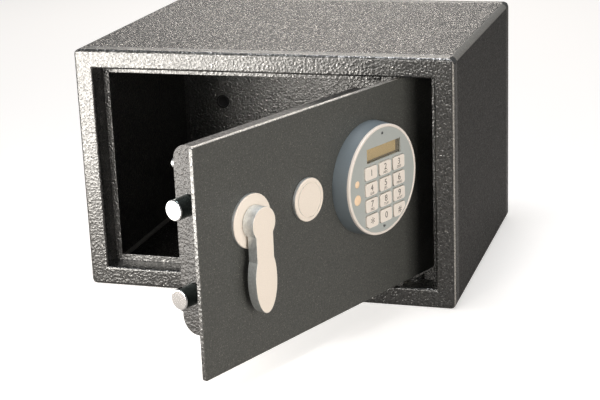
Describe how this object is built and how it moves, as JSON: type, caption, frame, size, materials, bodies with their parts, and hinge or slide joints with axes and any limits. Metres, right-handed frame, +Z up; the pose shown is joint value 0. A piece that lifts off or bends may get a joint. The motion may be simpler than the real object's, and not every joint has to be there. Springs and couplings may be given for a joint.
{
  "type": "security box",
  "caption": "Electronic security box: steel cabinet, hinged door with lever handle, sliding round bolts, covered key lock and round keypad.",
  "frame": {"origin": "centre of the base, on the surface that the cabinet stands on", "axes": "+X to the right as seen from the front, +Y from the front frame to the rear panel, +Z up"},
  "size_m": [0.31, 0.4467, 0.2],
  "materials": {
    "painted_steel": "grey hammer-texture powder coat",
    "zinc_steel": "zinc plated steel",
    "chrome_steel": "chromed steel bar",
    "satin_lacquer": "pale satin lacquer on die-cast zinc",
    "housing_plastic": "blue-grey moulded plastic",
    "rim_plastic": "off-white moulded plastic",
    "face_film": "grey-blue satin film",
    "window_plastic": "amber display window",
    "lens_plastic": "peach translucent lens",
    "key_plastic": "off-white key caps",
    "black_plastic": "black moulded plastic",
    "board_laminate": "green circuit board",
    "nylon": "natural nylon",
    "coil_wrap": "copper coil under tape",
    "cell_sleeve": "printed cell sleeve",
    "red_plastic": "red push button"
  },
  "bodies": {
    "cabinet": {"body_shell": "painted_steel", "front_frame": "painted_steel", "rear_panel": "painted_steel", "hinge_bracket_upper": "painted_steel", "hinge_bracket_lower": "painted_steel", "hinge_pin_upper": "zinc_steel", "hinge_pin_lower": "zinc_steel", "hinge_washers": "nylon"},
    "door": {"door_plate": "painted_steel", "lock_case": "painted_steel", "case_screws": "zinc_steel", "hinge_block_upper": "painted_steel", "hinge_block_lower": "painted_steel", "handle_rosette": "satin_lacquer", "spindle_bush": "nylon", "bolt_guide": "zinc_steel", "solenoid_frame": "zinc_steel", "solenoid_coil": "coil_wrap", "key_lock_body": "zinc_steel", "key_lock_nut": "zinc_steel", "keypad_housing": "housing_plastic", "keypad_rim": "rim_plastic", "keypad_face": "face_film", "display_window": "window_plastic", "display_module": "black_plastic", "circuit_board": "board_laminate", "key_switches": "black_plastic", "keypad_screws": "zinc_steel", "status_lens_small": "lens_plastic", "status_lens_large": "lens_plastic", "battery_box": "black_plastic", "battery_cells": "cell_sleeve", "reset_switch": "black_plastic"},
    "handle": {"lever_handle": "satin_lacquer", "handle_spindle": "zinc_steel", "spindle_crank": "zinc_steel"},
    "bolt_carriage": {"bolt_bar": "zinc_steel", "bolt_upper": "chrome_steel", "bolt_lower": "chrome_steel"},
    "plunger": {"solenoid_plunger": "chrome_steel", "plunger_spring": "zinc_steel"},
    "key_plug": {"key_lock_plug": "chrome_steel", "key_lock_cam": "zinc_steel"},
    "lock_cover": {"key_lock_cover": "satin_lacquer"},
    "battery_door": {"battery_cover": "black_plastic"},
    "reset_push": {"reset_button": "red_plastic"},
    "key_1_cap": {"key_1": "key_plastic"},
    "key_2_cap": {"key_2": "key_plastic"},
    "key_3_cap": {"key_3": "key_plastic"},
    "key_4_cap": {"key_4": "key_plastic"},
    "key_5_cap": {"key_5": "key_plastic"},
    "key_6_cap": {"key_6": "key_plastic"},
    "key_7_cap": {"key_7": "key_plastic"},
    "key_8_cap": {"key_8": "key_plastic"},
    "key_9_cap": {"key_9": "key_plastic"},
    "key_star_cap": {"key_star": "key_plastic"},
    "key_0_cap": {"key_0": "key_plastic"},
    "key_hash_cap": {"key_hash": "key_plastic"}
  },
  "joints": [
    {"name": "door_hinge", "type": "hinge", "parent": "cabinet", "child": "door", "pos_m": [0.108, -0.096, 0.1], "axis": [0, 0, 1], "range_deg": [-68, 32]},
    {"name": "handle_turn", "type": "hinge", "parent": "door", "child": "handle", "pos_m": [0.0447, -0.27804, 0.1185], "axis": [0.9272, -0.3746, 0], "range_deg": [0, 60]},
    {"name": "bolt_slide", "type": "slide", "parent": "door", "child": "bolt_carriage", "axis": [-0.3746, -0.9272, 0], "range_m": [0, 0.015]},
    {"name": "plunger_lift", "type": "slide", "parent": "door", "child": "plunger", "axis": [0, 0, 1], "range_m": [0, 0.0015], "stiffness_N_per_m": 100, "springref_m": -0.002, "deforming": ["plunger_spring"]},
    {"name": "lock_cover_pull", "type": "slide", "parent": "door", "child": "lock_cover", "axis": [0.9272, -0.3746, 0], "range_m": [0, 0.012]},
    {"name": "key_plug_turn", "type": "hinge", "parent": "door", "child": "key_plug", "pos_m": [0.06769, -0.22114, 0.1175], "axis": [-0.9272, 0.3746, 0], "range_deg": [0, 90]},
    {"name": "battery_cover_pull", "type": "slide", "parent": "door", "child": "battery_door", "axis": [-0.9272, 0.3746, 0], "range_m": [0, 0.02]},
    {"name": "reset_press", "type": "slide", "parent": "door", "child": "reset_push", "axis": [0.9272, -0.3746, 0], "range_m": [0, 0.0012], "stiffness_N_per_m": 400},
    {"name": "key_1_press", "type": "slide", "parent": "door", "child": "key_1_cap", "axis": [-0.9272, 0.3746, 0], "range_m": [0, 0.001], "stiffness_N_per_m": 400},
    {"name": "key_2_press", "type": "slide", "parent": "door", "child": "key_2_cap", "axis": [-0.9272, 0.3746, 0], "range_m": [0, 0.001], "stiffness_N_per_m": 400},
    {"name": "key_3_press", "type": "slide", "parent": "door", "child": "key_3_cap", "axis": [-0.9272, 0.3746, 0], "range_m": [0, 0.001], "stiffness_N_per_m": 400},
    {"name": "key_4_press", "type": "slide", "parent": "door", "child": "key_4_cap", "axis": [-0.9272, 0.3746, 0], "range_m": [0, 0.001], "stiffness_N_per_m": 400},
    {"name": "key_5_press", "type": "slide", "parent": "door", "child": "key_5_cap", "axis": [-0.9272, 0.3746, 0], "range_m": [0, 0.001], "stiffness_N_per_m": 400},
    {"name": "key_6_press", "type": "slide", "parent": "door", "child": "key_6_cap", "axis": [-0.9272, 0.3746, 0], "range_m": [0, 0.001], "stiffness_N_per_m": 400},
    {"name": "key_7_press", "type": "slide", "parent": "door", "child": "key_7_cap", "axis": [-0.9272, 0.3746, 0], "range_m": [0, 0.001], "stiffness_N_per_m": 400},
    {"name": "key_8_press", "type": "slide", "parent": "door", "child": "key_8_cap", "axis": [-0.9272, 0.3746, 0], "range_m": [0, 0.001], "stiffness_N_per_m": 400},
    {"name": "key_9_press", "type": "slide", "parent": "door", "child": "key_9_cap", "axis": [-0.9272, 0.3746, 0], "range_m": [0, 0.001], "stiffness_N_per_m": 400},
    {"name": "key_star_press", "type": "slide", "parent": "door", "child": "key_star_cap", "axis": [-0.9272, 0.3746, 0], "range_m": [0, 0.001], "stiffness_N_per_m": 400},
    {"name": "key_0_press", "type": "slide", "parent": "door", "child": "key_0_cap", "axis": [-0.9272, 0.3746, 0], "range_m": [0, 0.001], "stiffness_N_per_m": 400},
    {"name": "key_hash_press", "type": "slide", "parent": "door", "child": "key_hash_cap", "axis": [-0.9272, 0.3746, 0], "range_m": [0, 0.001], "stiffness_N_per_m": 400}
  ],
  "couplings": [
    {"joint": "bolt_slide", "follows": "handle_turn", "m_per_rad": 0.014324}
  ]
}
